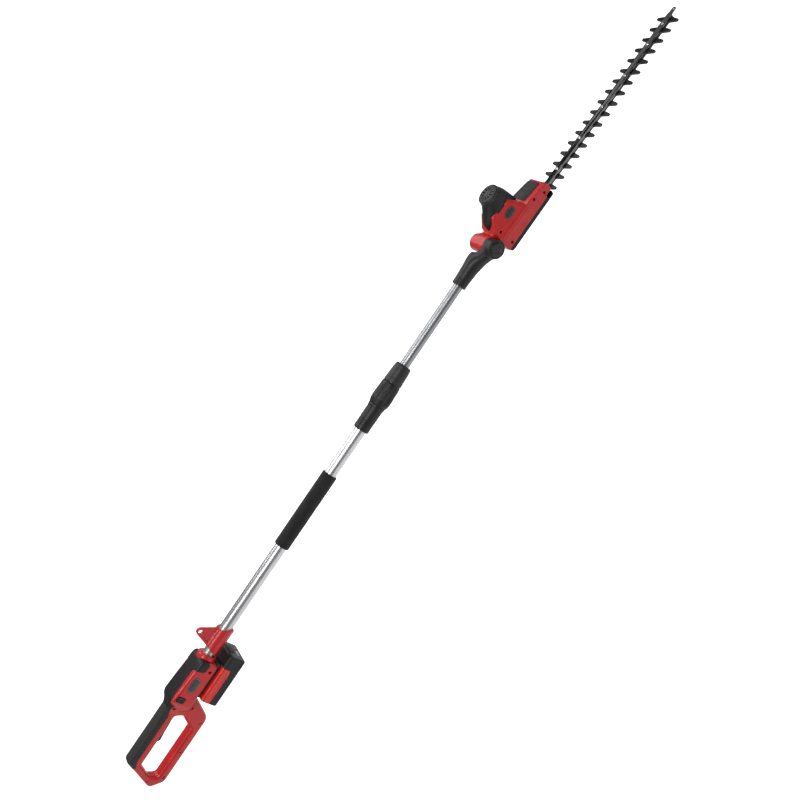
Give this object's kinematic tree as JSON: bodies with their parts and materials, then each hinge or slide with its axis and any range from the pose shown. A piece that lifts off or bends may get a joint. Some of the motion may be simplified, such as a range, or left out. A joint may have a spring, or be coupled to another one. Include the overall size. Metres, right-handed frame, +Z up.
{
  "type": "pole hedge trimmer",
  "caption": "Long-reach battery hedge trimmer: loop handle with battery, telescopic pole, tilting motor head and double-sided blades.",
  "frame": {"origin": "centre of the shoulder-strap eye, 47 mm above the pole's axis", "axes": "+X along the pole towards the blades, +Z up (away from the battery), +Y the user's left, along the strap eye's axis"},
  "size_m": [2.0315, 0.0904, 0.1588],
  "materials": {
    "red_plastic": "semi-gloss moulded plastic",
    "black_plastic": "fine-textured moulded plastic",
    "soft_rubber": "soft overmoulded rubber",
    "foam": "closed-cell foam",
    "label_black": "blank gloss plate",
    "lower_tube_aluminium": "satin anodised",
    "upper_tube_aluminium": "satin anodised, darker",
    "blade_steel": "blackened, ground edges",
    "bar_steel": "dark brushed",
    "bright_steel": "zinc plated",
    "cast_aluminium": "die cast",
    "bronze": "sintered bronze",
    "cable_rubber": "cable sheath",
    "circuit_board": "solder resist green",
    "cell_wrap": "shrink wrap",
    "clear_lens": "clear lens",
    "natural_nylon": "natural nylon"
  },
  "bodies": {
    "rear_unit": {"housing_right": "red_plastic", "housing_left": "red_plastic", "soft_grip": "soft_rubber", "top_cover": "black_plastic", "front_collar": "red_plastic", "housing_screws": "bright_steel", "rear_label_plates": "label_black", "trigger_switch": "black_plastic", "trigger_spring": "bright_steel", "trigger_pin": "bright_steel", "control_board": "circuit_board", "battery_dock": "black_plastic", "power_cable": "cable_rubber", "lower_tube": "lower_tube_aluminium", "strap_lug": "red_plastic", "lug_screw": "bright_steel", "foam_grip": "foam", "clamp_body": "black_plastic", "clamp_collet": "natural_nylon"},
    "trigger": {"trigger": "black_plastic"},
    "lock_off_button": {"lock_off_button": "black_plastic"},
    "battery": {"battery_case": "black_plastic", "battery_cover": "red_plastic", "battery_cells": "cell_wrap", "latch_spring": "bright_steel", "gauge_lens": "clear_lens"},
    "battery_latch": {"battery_latch": "black_plastic"},
    "gauge_button": {"gauge_button": "red_plastic"},
    "clamp_nut": {"clamp_nut": "black_plastic", "clamp_collar": "black_plastic"},
    "upper_pole": {"upper_tube": "upper_tube_aluminium", "guide_bush": "black_plastic", "head_coupling": "black_plastic", "detent_ring": "bright_steel", "cable_lead": "cable_rubber"},
    "cutting_head": {"head_shell_right": "red_plastic", "head_shell_left": "red_plastic", "nose_cover": "black_plastic", "base_plate": "black_plastic", "head_screws": "bright_steel", "pivot_bolt": "bright_steel", "pivot_cap": "black_plastic", "release_spring": "bright_steel", "head_label_plates": "label_black", "motor_cover": "black_plastic", "motor_cap": "black_plastic", "motor": "bright_steel", "gearbox_plate": "cast_aluminium", "upper_bearing": "bright_steel", "lower_bush": "bronze", "guide_bar": "bar_steel", "bar_bolts": "bright_steel"},
    "release_button": {"release_button": "red_plastic"},
    "motor_rotor": {"motor_pinion": "bright_steel", "cooling_fan": "natural_nylon"},
    "drive_gear": {"drive_gear": "bright_steel"},
    "upper_blade": {"upper_blade": "blade_steel"},
    "lower_blade": {"lower_blade": "blade_steel"}
  },
  "joints": [
    {"name": "trigger_press", "type": "hinge", "parent": "rear_unit", "child": "trigger", "pos_m": [-0.2, 0, -0.055], "axis": [0, 1, 0], "range_deg": [0, 7], "stiffness_Nm_per_rad": 1},
    {"name": "lock_off_press", "type": "slide", "parent": "rear_unit", "child": "lock_off_button", "axis": [0, 1, 0], "range_m": [0, 0.004], "stiffness_N_per_m": 200},
    {"name": "battery_slide", "type": "slide", "parent": "rear_unit", "child": "battery", "axis": [1, 0, 0], "range_m": [0, 0.1]},
    {"name": "battery_latch_press", "type": "slide", "parent": "battery", "child": "battery_latch", "axis": [-1, 0, 0], "range_m": [0, 0.0025], "stiffness_N_per_m": 200},
    {"name": "gauge_button_press", "type": "slide", "parent": "battery", "child": "gauge_button", "axis": [-1, 0, 0], "range_m": [0, 0.001], "stiffness_N_per_m": 200},
    {"name": "clamp_twist", "type": "hinge", "parent": "rear_unit", "child": "clamp_nut", "pos_m": [0.636, 0, -0.047], "axis": [1, 0, 0], "range_deg": [-90, 0]},
    {"name": "pole_extend", "type": "slide", "parent": "rear_unit", "child": "upper_pole", "axis": [1, 0, 0], "range_m": [-0.185, 0.32]},
    {"name": "head_tilt", "type": "hinge", "parent": "upper_pole", "child": "cutting_head", "pos_m": [1.019, 0, -0.047], "axis": [0, 1, 0], "range_deg": [-45, 60]},
    {"name": "release_press", "type": "slide", "parent": "cutting_head", "child": "release_button", "axis": [0, -1, 0], "range_m": [0, 0.004], "stiffness_N_per_m": 300},
    {"name": "gear_spin", "type": "hinge", "parent": "cutting_head", "child": "drive_gear", "pos_m": [1.12434, 0, -0.06769], "axis": [0.0349, 0, 0.9994], "range_deg": [-91, 91]},
    {"name": "motor_spin", "type": "hinge", "parent": "cutting_head", "child": "motor_rotor", "pos_m": [1.09636, 0, -0.06671], "axis": [0.0349, 0, 0.9994], "range_deg": [-331, 331]},
    {"name": "upper_blade_slide", "type": "slide", "parent": "cutting_head", "child": "upper_blade", "axis": [0.9994, 0, -0.0349], "range_m": [-0.008, 0.008]},
    {"name": "lower_blade_slide", "type": "slide", "parent": "cutting_head", "child": "lower_blade", "axis": [0.9994, 0, -0.0349], "range_m": [-0.00805, 0.00805]}
  ],
  "couplings": [
    {"joint": "gear_spin", "follows": "upper_blade_slide", "rad_per_m": -196.35},
    {"joint": "motor_spin", "follows": "upper_blade_slide", "rad_per_m": 719.95},
    {"joint": "lower_blade_slide", "follows": "upper_blade_slide", "ratio": -1}
  ]
}
